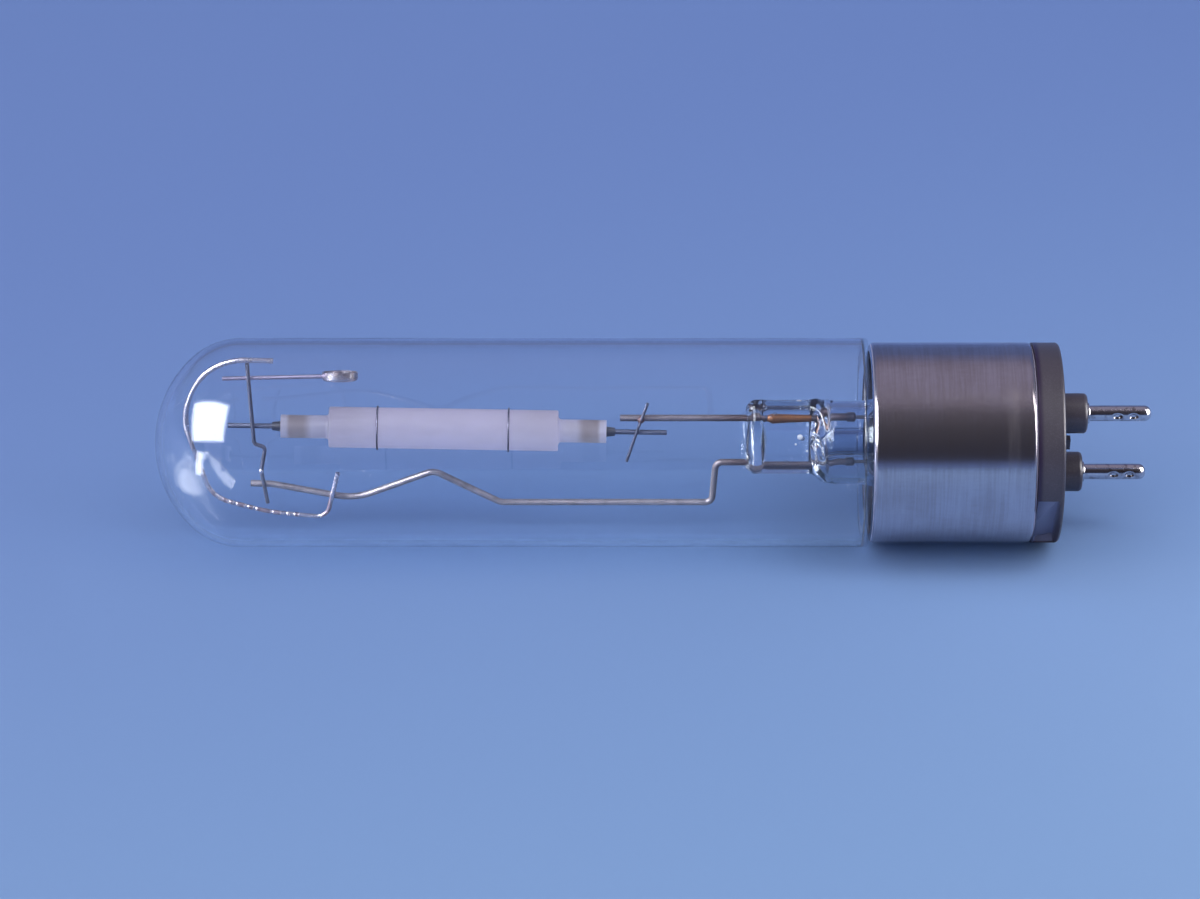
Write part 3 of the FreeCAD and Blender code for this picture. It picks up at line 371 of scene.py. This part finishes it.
class Signal:
    """One output in a material's node tree. Arithmetic on signals adds the Math nodes."""

    def __init__(self, tree, socket=None):
        self.tree = tree
        self.socket = socket

    def node(self, kind, settings=None, sockets=None, output=0):
        """Add a node: its settings first, then its sockets' values or links. Returns an output.

        A ramp's stops begin with the first and the last, which it has from the start.
        """
        made = self.tree.nodes.new(kind)
        for name, setting in (settings or {}).items():
            if name == "stops":
                for index, (position, tone) in enumerate(setting):
                    stops = made.color_ramp.elements
                    stop = stops[index] if index < 2 else stops.new(position)
                    stop.position, stop.color = position, tone
            else:
                setattr(made, name, setting)
        for key, given in (sockets or {}).items():
            socket = made.inputs[key]
            if isinstance(given, Signal):
                self.tree.links.new(given.socket, socket)
            else:
                socket.default_value = given
        return Signal(self.tree, made.outputs[output])

    def math(self, operation, *values):
        """Add a Math node of numbers and signals."""
        return self.node("ShaderNodeMath", {"operation": operation}, dict(enumerate(values)))

    def __add__(self, other):
        return self.math("ADD", self, other)

    def __sub__(self, other):
        return self.math("SUBTRACT", self, other)

    def __rsub__(self, other):
        return self.math("SUBTRACT", other, self)

    def __mul__(self, other):
        return self.math("MULTIPLY", self, other)

    def __pow__(self, other):
        return self.math("POWER", self, other)

    __radd__ = __add__
    __rmul__ = __mul__

    def step(self, low, high):
        """0 below low, 1 above high, smooth between. Where low is above high, it falls instead."""
        if low > high:
            return 1 - self.step(high, low)
        return self.node("ShaderNodeMapRange", {"interpolation_type": "SMOOTHSTEP"},
                         {"Value": self, "From Min": low, "From Max": high})

    def blend(self, first, second):
        """Mix two colours, or two colour signals, by this signal."""
        return self.node("ShaderNodeMix", {"data_type": "RGBA"},
                         {0: self, 6: first, 7: second}, output=2)


def linear(*tone):
    """Return an opaque linear colour from sRGB numbers out of 255."""
    parts = [part / 255 for part in tone]
    return tuple(part / 12.92 if part <= 0.04045 else ((part + 0.055) / 1.055) ** 2.4
                 for part in parts) + (1.0,)


def new_material(name):
    """Start a material. Returns it, its tree as a signal, and its shader node."""
    material = bpy.data.materials.new(name)
    material.use_nodes = True
    tree = material.node_tree
    shader = tree.nodes["Principled BSDF"]
    return material, Signal(tree), shader


def feed(tree, shader, **signals):
    """Set or link the shader's sockets, named with _ for spaces."""
    for name, given in signals.items():
        socket = shader.inputs[name.replace("_", " ")]
        if isinstance(given, Signal):
            tree.tree.links.new(given.socket, socket)
        else:
            socket.default_value = given


def place_of(tree):
    """Return the point on the lamp in millimetres, as a vector and as its three parts."""
    place = tree.node("ShaderNodeTexCoord", output="Object")
    scaled = tree.node("ShaderNodeVectorMath", {"operation": "SCALE"}, {0: place, "Scale": 1 / MM})
    return scaled, apart(tree, scaled)


def apart(tree, vector):
    """Return the three parts of a vector."""
    return [tree.node("ShaderNodeSeparateXYZ", None, {0: vector}, axis) for axis in range(3)]


def from_axis(parts):
    """Return a point's distance from the lamp's axis."""
    return (parts[1] * parts[1] + parts[2] * parts[2]) ** 0.5


def stretch(tree, point, *factors):
    """Scale a point along each axis."""
    return tree.node("ShaderNodeVectorMath", {"operation": "MULTIPLY"}, {0: point, 1: factors})


def noise(tree, point, scale, detail=3.0, rough=0.5):
    """Noise between 0 and 1 at a scale in cycles per millimetre."""
    return tree.node("ShaderNodeTexNoise", None,
                     {"Vector": point, "Scale": scale, "Detail": detail, "Roughness": rough})


def bump(tree, height, strength, distance):
    """Turn a height signal into a normal, with its depth in millimetres."""
    return tree.node("ShaderNodeBump", None,
                     {"Strength": strength, "Distance": distance * MM, "Height": height})


def mix_over(tree, share, first, second):
    """Make the surface a mix of two shaders; the share is the second one's."""
    mixed = tree.node("ShaderNodeMixShader", None, {0: share, 1: first, 2: second})
    tree.tree.links.new(mixed.socket, tree.tree.nodes["Material Output"].inputs["Surface"])


def see_through(tree, shader, shade, thin=None):
    """Let lamp light and bounced light pass straight through the glass, dimmed by a colour.

    So does what metal outside the glass mirrors, which has met no glass yet, and what is seen
    where thin is 1.
    """
    lamp, spread, mirrored, inside = (tree.node("ShaderNodeLightPath", output=name) for name in (
        "Is Shadow Ray", "Is Diffuse Ray", "Is Glossy Ray", "Transmission Depth"))
    outside = mirrored * inside.step(1.0, 0.0)
    clear = tree.node("ShaderNodeBsdfTransparent", None, {"Color": shade})
    straight = tree.math("MAXIMUM", tree.math("MAXIMUM", lamp, spread), outside)
    if thin is not None:
        straight = tree.math("MAXIMUM", straight, thin)
    mix_over(tree, straight, Signal(tree.tree, shader.outputs[0]), clear)


def glass(name, tone, roughness, wave, shade, thin=None):
    """Clear glass: a smooth surface with very shallow long waves from the flame.

    Between the two places of thin along the lamp it is drawn out to a film that bends no light.
    """
    material, tree, shader = new_material(name)
    point, parts = place_of(tree)
    waves = noise(tree, stretch(tree, point, 0.35, 1.0, 1.0), 0.12, 1.0)
    feed(tree, shader, Base_Color=tone, Roughness=roughness, IOR=1.5, Transmission_Weight=1.0,
         Normal=bump(tree, waves, 1.0, wave))
    see_through(tree, shader, shade, None if thin is None else parts[0].step(*thin) * 0.9)
    return material


def drawn_metal(name, tone, stain, roughness, stained=None, fleck=0.5, metallic=1.0, dashes=0.0):
    """Drawn wire: fine lines along it, cloudy oxide between two tones, more where stained is 1.

    Dashes are dents along the wire, this many millimetres deep, in the lower part of the lamp.
    The dents are painted dark in the stain tone, which is painted shade.
    """
    material, tree, shader = new_material(name)
    point, parts = place_of(tree)
    cloud = noise(tree, point, 0.5, 4.0)
    lines = noise(tree, stretch(tree, point, 0.25, 1.0, 1.0), 9.0, 2.0)
    amount = cloud.step(0.35, 0.75) * fleck
    if stained is not None:
        amount = tree.math("MAXIMUM", amount, stained(parts))
    if dashes:
        dents = noise(tree, stretch(tree, point, 1.0, 0.02, 0.02), 1.1, 0.0).step(0.42, 0.58)
        dents = dents * parts[2].step(-6.0, -9.0)
        # painted shade: the dents take the dark stain tone
        amount = tree.math("MAXIMUM", amount, dents * 0.9)
        normal = bump(tree, dents, 1.0, dashes)
    else:
        normal = bump(tree, lines, 0.35, 0.02)
    colour = amount.blend(tone, stain)
    feed(tree, shader, Base_Color=colour, Metallic=metallic,
         Roughness=roughness + 0.12 * lines + 0.15 * amount, Normal=normal)
    return material


def browned_at_pinch(parts):
    """Oxide on the rods: strong just outside the pinch, fading towards the dome."""
    return parts[0].step(-52.0, -43.5) * 0.9


def ceramic(name, tone, shaded, zones):
    """Sintered alumina: satin, lets much light through, with darker zones where metal is inside.

    The zones go by the distance from the arc tube's middle. A glow, stronger in its lower half,
    is painted light that stands in for the light soaking through the ceramic.
    """
    material, tree, shader = new_material(name)
    point, parts = place_of(tree)
    cloud = noise(tree, point, 0.35, 3.0)
    grain = noise(tree, point, 14.0, 2.0)
    share = zones(tree.math("ABSOLUTE", parts[0] - ARC_MIDDLE)) + 0.3 * cloud.step(0.3, 0.8)
    # painted light: the ceramic glows, dim above and bright in its lower half
    low = (parts[1] * 0.5 + parts[2] * 0.866).step(2.9, -0.3)  # leans 30 degrees to the front
    painted_glow = low.blend((0.25, 0.26, 0.29, 1.0), (0.86, 0.9, 1.0, 1.0))
    feed(tree, shader, Base_Color=share.blend(tone, shaded), Roughness=0.3 + 0.1 * grain,
         IOR=1.76, Specular_IOR_Level=0.3, Emission_Color=painted_glow, Emission_Strength=0.3,
         Normal=bump(tree, grain, 0.2, 0.01))
    pale, dark = (tree.node("ShaderNodeBsdfTranslucent", None, {"Color": colour})
                  for colour in (tone, shaded))
    through = tree.node("ShaderNodeMixShader", None, {0: share, 1: pale, 2: dark})
    mix_over(tree, 0.6, Signal(tree.tree, shader.outputs[0]), through)
    return material


def body_zones(ends):
    """The electrodes show as soft shadows at both ends of the ceramic body."""
    return ends.step(10.5, 15.5) * 0.35


def end_zones(ends):
    """The metal feedthrough shows dark through the outer half of each end tube."""
    return ends.step(19.6, 21.2) * ends.step(23.6, 22.9) * 0.8


def plated_shell():
    """Nickel-plated drawn sheet: fine rings round it, faint cloudy tarnish and small marks.

    Its bore is pale and not metal: partly the cement's dull film, partly painted light that
    lifts the shade inside the mouth.
    """
    material, tree, shader = new_material("shell_nickel")
    point, parts = place_of(tree)
    rings = noise(tree, stretch(tree, point, 1.0, 0.03, 0.03), 3.2, 5.0, 0.65)
    broad = noise(tree, stretch(tree, point, 1.0, 0.05, 0.05), 0.45, 3.0)
    lines = noise(tree, stretch(tree, point, 0.1, 1.0, 1.0), 5.0, 3.0)
    cloud = noise(tree, point, 0.16, 5.0, 0.6)
    wear = parts[0].step(-4.9, -4.2) * parts[0].step(-2.4, -3.2) * rings.step(0.3, 0.6)
    dull = (0.35 * cloud.step(0.35, 0.7) + 0.4 * rings.step(0.35, 0.65)
            + 0.15 * lines.step(0.4, 0.7))
    colour = dull.blend(linear(200, 194, 203), linear(172, 162, 166))
    # partly painted light: the bore takes a pale non-metal tone where the mouth lies in shade
    bore = from_axis(parts).step(14.85, 14.75) * parts[0].step(-24.25, -24.1)
    feed(tree, shader, Base_Color=bore.blend(colour, linear(188, 184, 208)), Metallic=1.0 - bore,
         Roughness=0.12 + 0.07 * rings + 0.04 * cloud + 0.03 * lines + 0.04 * wear,
         Normal=bump(tree, rings + 1.5 * broad, 0.4, 0.012))
    return material


def moulding():
    """Dark moulded insulator: satin skin with fine speckle and a faint flow of tone.

    The edge by the shell is painted nearly black as shade at the joint, and the pocket in the ring
    is painted paler as light.
    """
    material, tree, shader = new_material("insulator_moulding")
    point, parts = place_of(tree)
    speckle = noise(tree, point, 5.0, 4.0, 0.7)
    cloud = noise(tree, point, 0.25, 3.0)
    mottle = 0.6 * speckle.step(0.45, 0.75) + 0.4 * cloud
    colour = mottle.blend(linear(57, 52, 61), linear(86, 80, 92))
    # painted shade: the edge by the shell is nearly black
    colour = parts[0].step(0.9, 0.3).blend(colour, linear(38, 24, 52))
    # painted light: the pocket in the ring takes a pale bluish tone
    painted_pocket_light = (from_axis(parts).step(14.9, 14.6) * parts[2].step(-0.6, -1.2)
              * parts[0].step(3.4, 3.1))
    colour = painted_pocket_light.blend(colour, linear(128, 130, 156))
    feed(tree, shader, Base_Color=colour, Roughness=0.26 + 0.15 * speckle,
         Normal=bump(tree, speckle + 2.0 * cloud, 0.3, 0.03))
    return material


def plated_pin():
    """Bright nickel plate with fine turning lines and small dull marks."""
    material, tree, shader = new_material("pin_nickel")
    point, _ = place_of(tree)
    lines = noise(tree, stretch(tree, point, 1.0, 0.1, 0.1), 6.0, 3.0)
    marks = noise(tree, point, 1.1, 4.0)
    colour = marks.step(0.45, 0.75).blend(linear(206, 202, 208), linear(150, 142, 146))
    feed(tree, shader, Base_Color=colour, Metallic=1.0,
         Roughness=0.09 + 0.10 * marks + 0.05 * lines, Normal=bump(tree, lines, 0.25, 0.015))
    return material


def matt(name, tone, other, roughness, glow=0.0):
    """A dull fired or pressed surface between two tones, with a fine grain."""
    material, tree, shader = new_material(name)
    point, _ = place_of(tree)
    cloud = noise(tree, point, 1.0, 4.0)
    grain = noise(tree, point, 8.0, 2.0)
    # painted light: a glow, where given, makes the surface shine though it is no lamp
    feed(tree, shader, Base_Color=cloud.blend(tone, other), Roughness=roughness + 0.1 * grain,
         Emission_Color=tone, Emission_Strength=glow, Normal=bump(tree, grain, 0.4, 0.02))
    return material


def dress():
    """Give every CAD node and piece its finish: one of its own, or that of the slot it takes."""
    browned = dict(stained=browned_at_pinch, metallic=0.7)
    drawn = (
        ("lead_rod", (126, 118, 126), (62, 50, 56), 0.35, browned),
        ("frame_rod", (152, 144, 150), (70, 60, 68), 0.32, browned),
        ("thin_wire", (90, 88, 98), (92, 86, 90), 0.4, {}),
        ("sleeve_metal", (80, 76, 86), (56, 52, 60), 0.35, {}),
        ("niobium", (100, 104, 124), (74, 76, 92), 0.35, {}),
        ("tungsten", (120, 120, 126), (92, 86, 90), 0.4, {}),
        ("band_metal", (92, 90, 106), (70, 68, 80), 0.35, {}),
        ("link_metal", (104, 106, 124), (72, 72, 84), 0.35, {}),
        ("spring_steel", (208, 202, 210), (130, 112, 122), 0.17, dict(dashes=0.12)),
        ("getter_rod_metal", (150, 142, 164), (116, 108, 130), 0.32, {}),
        ("getter_steel", (206, 198, 204), (92, 68, 68), 0.15, dict(fleck=0.75)),
        ("copper_skin", (150, 98, 62), (90, 58, 42), 0.3, dict(metallic=0.6)),
        ("weld_scale", (96, 74, 78), (70, 50, 52), 0.45, dict(metallic=0.6)),
    )
    dull = (
        ("frit_glass", (58, 60, 74), (84, 86, 100), 0.25, 0.0),
        ("getter_powder", (96, 88, 96), (70, 64, 70), 0.8, 0.0),
        ("cement", (206, 200, 190), (184, 176, 164), 0.85, 0.0),
        # painted reflection: the bubbles are white and glow a little
        ("bubble_sheen", (246, 246, 252), (214, 218, 234), 0.2, 0.35),
    )
    fired = (
        ("arc_ceramic", (233, 226, 240), (212, 204, 218), body_zones),
        ("end_ceramic", (236, 231, 245), (178, 163, 170), end_zones),
    )
    finishes = {
        "bulb_glass": glass("bulb_glass", linear(250, 252, 254), 0.0, 0.02,
                            (0.93, 0.95, 0.97, 1), thin=(-25.6, -24.9)),
        "stem_glass": glass("stem_glass", linear(240, 244, 250), 0.0, 0.25,
                            (0.85, 0.88, 0.9, 1)),
        "shell_nickel": plated_shell(),
        "insulator_moulding": moulding(),
        "pin_nickel": plated_pin(),
    }
    for name, tone, stain, roughness, more in drawn:
        finishes[name] = drawn_metal(name, linear(*tone), linear(*stain), roughness, **more)
    for name, tone, other, roughness, glow in dull:
        finishes[name] = matt(name, linear(*tone), linear(*other), roughness, glow)
    for name, tone, shaded, zones in fired:
        finishes[name] = ceramic(name, linear(*tone), linear(*shaded), zones)
    own = {"copper_seal": "copper_skin", "weld_cross": "weld_scale", "stem_bubbles": "bubble_sheen"}
    slots = {row["node"]: row["material_slot"] for row in frame["record"]["subparts"]}
    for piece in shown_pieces():
        slot = slots.get(piece.name) or piece.get("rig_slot")
        piece.data.materials.clear()
        piece.data.materials.append(finishes[own.get(piece.name, slot)])


def make_floor():
    """Lay a plain pale blue sheet under the lamp, painted a little lighter towards the near right
    as painted light.
    """
    mesh = bpy.data.meshes.new("floor")
    half, height = 4.0, FLOOR * MM
    around = ((-half, -half), (half, -half), (half, half), (-half, half))
    mesh.from_pydata([(x, y, height) for x, y in around], [], [(0, 1, 2, 3)])
    floor = bpy.data.objects.new("floor", mesh)
    bpy.context.scene.collection.objects.link(floor)
    material, tree, shader = new_material("floor")
    point, parts = place_of(tree)
    # painted light: the sheet is lighter towards the near right
    near = (parts[0] * 0.45 - parts[1]).step(-190.0, 170.0)
    tooth = noise(tree, point, 1.5, 2.0)
    colour = near.blend(linear(104, 132, 191), linear(126, 161, 205))
    feed(tree, shader, Base_Color=colour, Roughness=0.75, Specular_IOR_Level=0.25,
         Normal=bump(tree, tooth, 0.1, 0.02))
    mesh.materials.append(material)


def make_world():
    """A dim room: soft grey overhead and behind the lamp, darker on the camera's side.

    Its tones go by the height along a line that leans 25 degrees to the far side. Seen through
    glass it is nearer to the floor's blue, so that clear edges stay clear.
    """
    world = bpy.data.worlds.new("room")
    bpy.context.scene.world = world
    world.use_nodes = True
    tree = Signal(world.node_tree)
    refracted = tree.node("ShaderNodeLightPath", output="Is Transmission Ray")
    side, ahead, up = apart(tree, tree.node("ShaderNodeTexCoord", output="Generated"))
    height = up * 0.906 + ahead * 0.423
    far = up.step(0.80, 0.40) * ahead.step(0.1, 0.6)
    horizon = up.step(0.18, 0.05)
    aside = tree.math("ABSOLUTE", side).step(0.3, 0.7)
    tone = tree.node("ShaderNodeValToRGB", {"stops": [
        (0.0, (0.03, 0.03, 0.045, 1)),
        (1.0, (0.31, 0.29, 0.39, 1)),
        (0.35, (0.038, 0.036, 0.052, 1)),
        (0.62, (0.08, 0.073, 0.10, 1)),
        (0.85, (0.22, 0.20, 0.27, 1)),
    ]}, {0: height})
    tone = (far * 0.9).blend(tone, (0.12, 0.17, 0.36, 1))
    tone = horizon.blend(tone, (0.12, 0.18, 0.4, 1))
    tone = (aside * 0.85).blend(tone, (0.2, 0.23, 0.34, 1))
    tone = (refracted * 0.75).blend(tone, (0.14, 0.19, 0.40, 1))
    background = world.node_tree.nodes["Background"]
    world.node_tree.links.new(tone.socket, background.inputs["Color"])
    background.inputs["Strength"].default_value = 1.0


def make_lamp(name, aim, direction, distance, size, power, tone=(1.0, 1.0, 1.0), turn=0.0,
              facing=None, shape="RECTANGLE", seen_by=("diffuse", "glossy", "transmission")):
    """Hang a soft light at a distance in metres, in one direction from a point in millimetres.

    It faces the point, unless it has a facing of its own, which points from what it lights to it.
    The turn in degrees is about that line.
    """
    light = bpy.data.lights.new(name, "AREA")
    light.shape = shape
    light.size, light.size_y = size
    light.energy = power
    light.color = tone
    hung = bpy.data.objects.new(name, light)
    hung.location = Vector(aim) * MM + Vector(direction).normalized() * distance
    back = Vector(facing or direction).normalized()
    look = (-back).to_track_quat("-Z", "Y") @ Quaternion((0, 0, 1), math.radians(turn))
    hung.rotation_euler = look.to_euler()
    hung.visible_camera = False
    hung.visible_diffuse = "diffuse" in seen_by
    hung.visible_glossy = "glossy" in seen_by
    hung.visible_transmission = "transmission" in seen_by
    bpy.context.scene.collection.objects.link(hung)


def make_lights():
    """Light the room: a broad soft ceiling, and the bright things that glass and metal mirror.

    Each heart lies a little nearer than the light that it brightens, because lights in one plane
    hide each other.
    """
    middle, dome, cheek = (-64, 0, 0), (-123, -12, 8), (-127, -11, 0)
    high, beneath = (-0.78, -0.285, 0.557), (-0.82, -0.17, -0.54)
    mirrored = dict(seen_by=("glossy", "transmission"))
    daylight = dict(mirrored, tone=(0.93, 0.96, 1.0))
    pane = dict(daylight, facing=(-0.504, -0.438, 0.745), turn=24.0)
    disc = dict(daylight, shape="ELLIPSE")
    make_lamp("ceiling", middle, (-0.15, -0.5, 1.0), 1.4, (3.0, 2.6), 26.0, seen_by=("diffuse",))
    make_lamp("window", dome, high, 1.32, (1.6, 1.0), 19.0, **pane)
    make_lamp("window_heart", dome, high, 1.3, (1.44, 0.88), 34.0, **pane)
    make_lamp("glint", dome, (-0.76, -0.3, 0.57), 1.28, (0.36, 0.28), 24.0, **mirrored)
    make_lamp("spill", cheek, beneath, 0.024, (0.026, 0.026), 0.0015, **disc)
    make_lamp("card", dome, (-0.85, -0.475, -0.13), 0.07, (0.012, 0.03), 0.014, **daylight)
    make_lamp("spill_heart", cheek, beneath, 0.023, (0.017, 0.017), 0.001, **disc)
    make_lamp("far_window", middle, (0.68, -0.2, 0.7), 1.5, (0.4, 1.6), 9.5, (1.0, 0.98, 0.96))
    make_lamp("tip_card", (18, 0, 0), (0.86, -0.18, 0.46), 0.06, (0.06, 0.05), 0.1, **mirrored)


def make_camera():
    """Look along +Y and 30 degrees down, from 750 mm, with a 150 mm lens."""
    camera = bpy.data.cameras.new("camera")
    camera.lens, camera.sensor_width = 150.0, 36.0
    view = bpy.data.objects.new("camera", camera)
    target, distance, down = np.array([-64.6, -0.525, -0.909]), 750, math.radians(30)
    view.location = (target + distance * np.array([0, -math.cos(down), math.sin(down)])) * MM
    view.rotation_euler = (math.pi / 2 - down, 0, 0)
    bpy.context.scene.collection.objects.link(view)
    bpy.context.scene.camera = view


make_bulb()
make_stem()
make_bubbles()
make_seal()
make_pin("upper", (12.5, 14.9))
make_pin("lower", (12.75, 15.15))
make_welds()
dress()
make_floor()
make_world()
make_lights()
make_camera()
bpy.context.scene.view_settings.view_transform = "Standard"
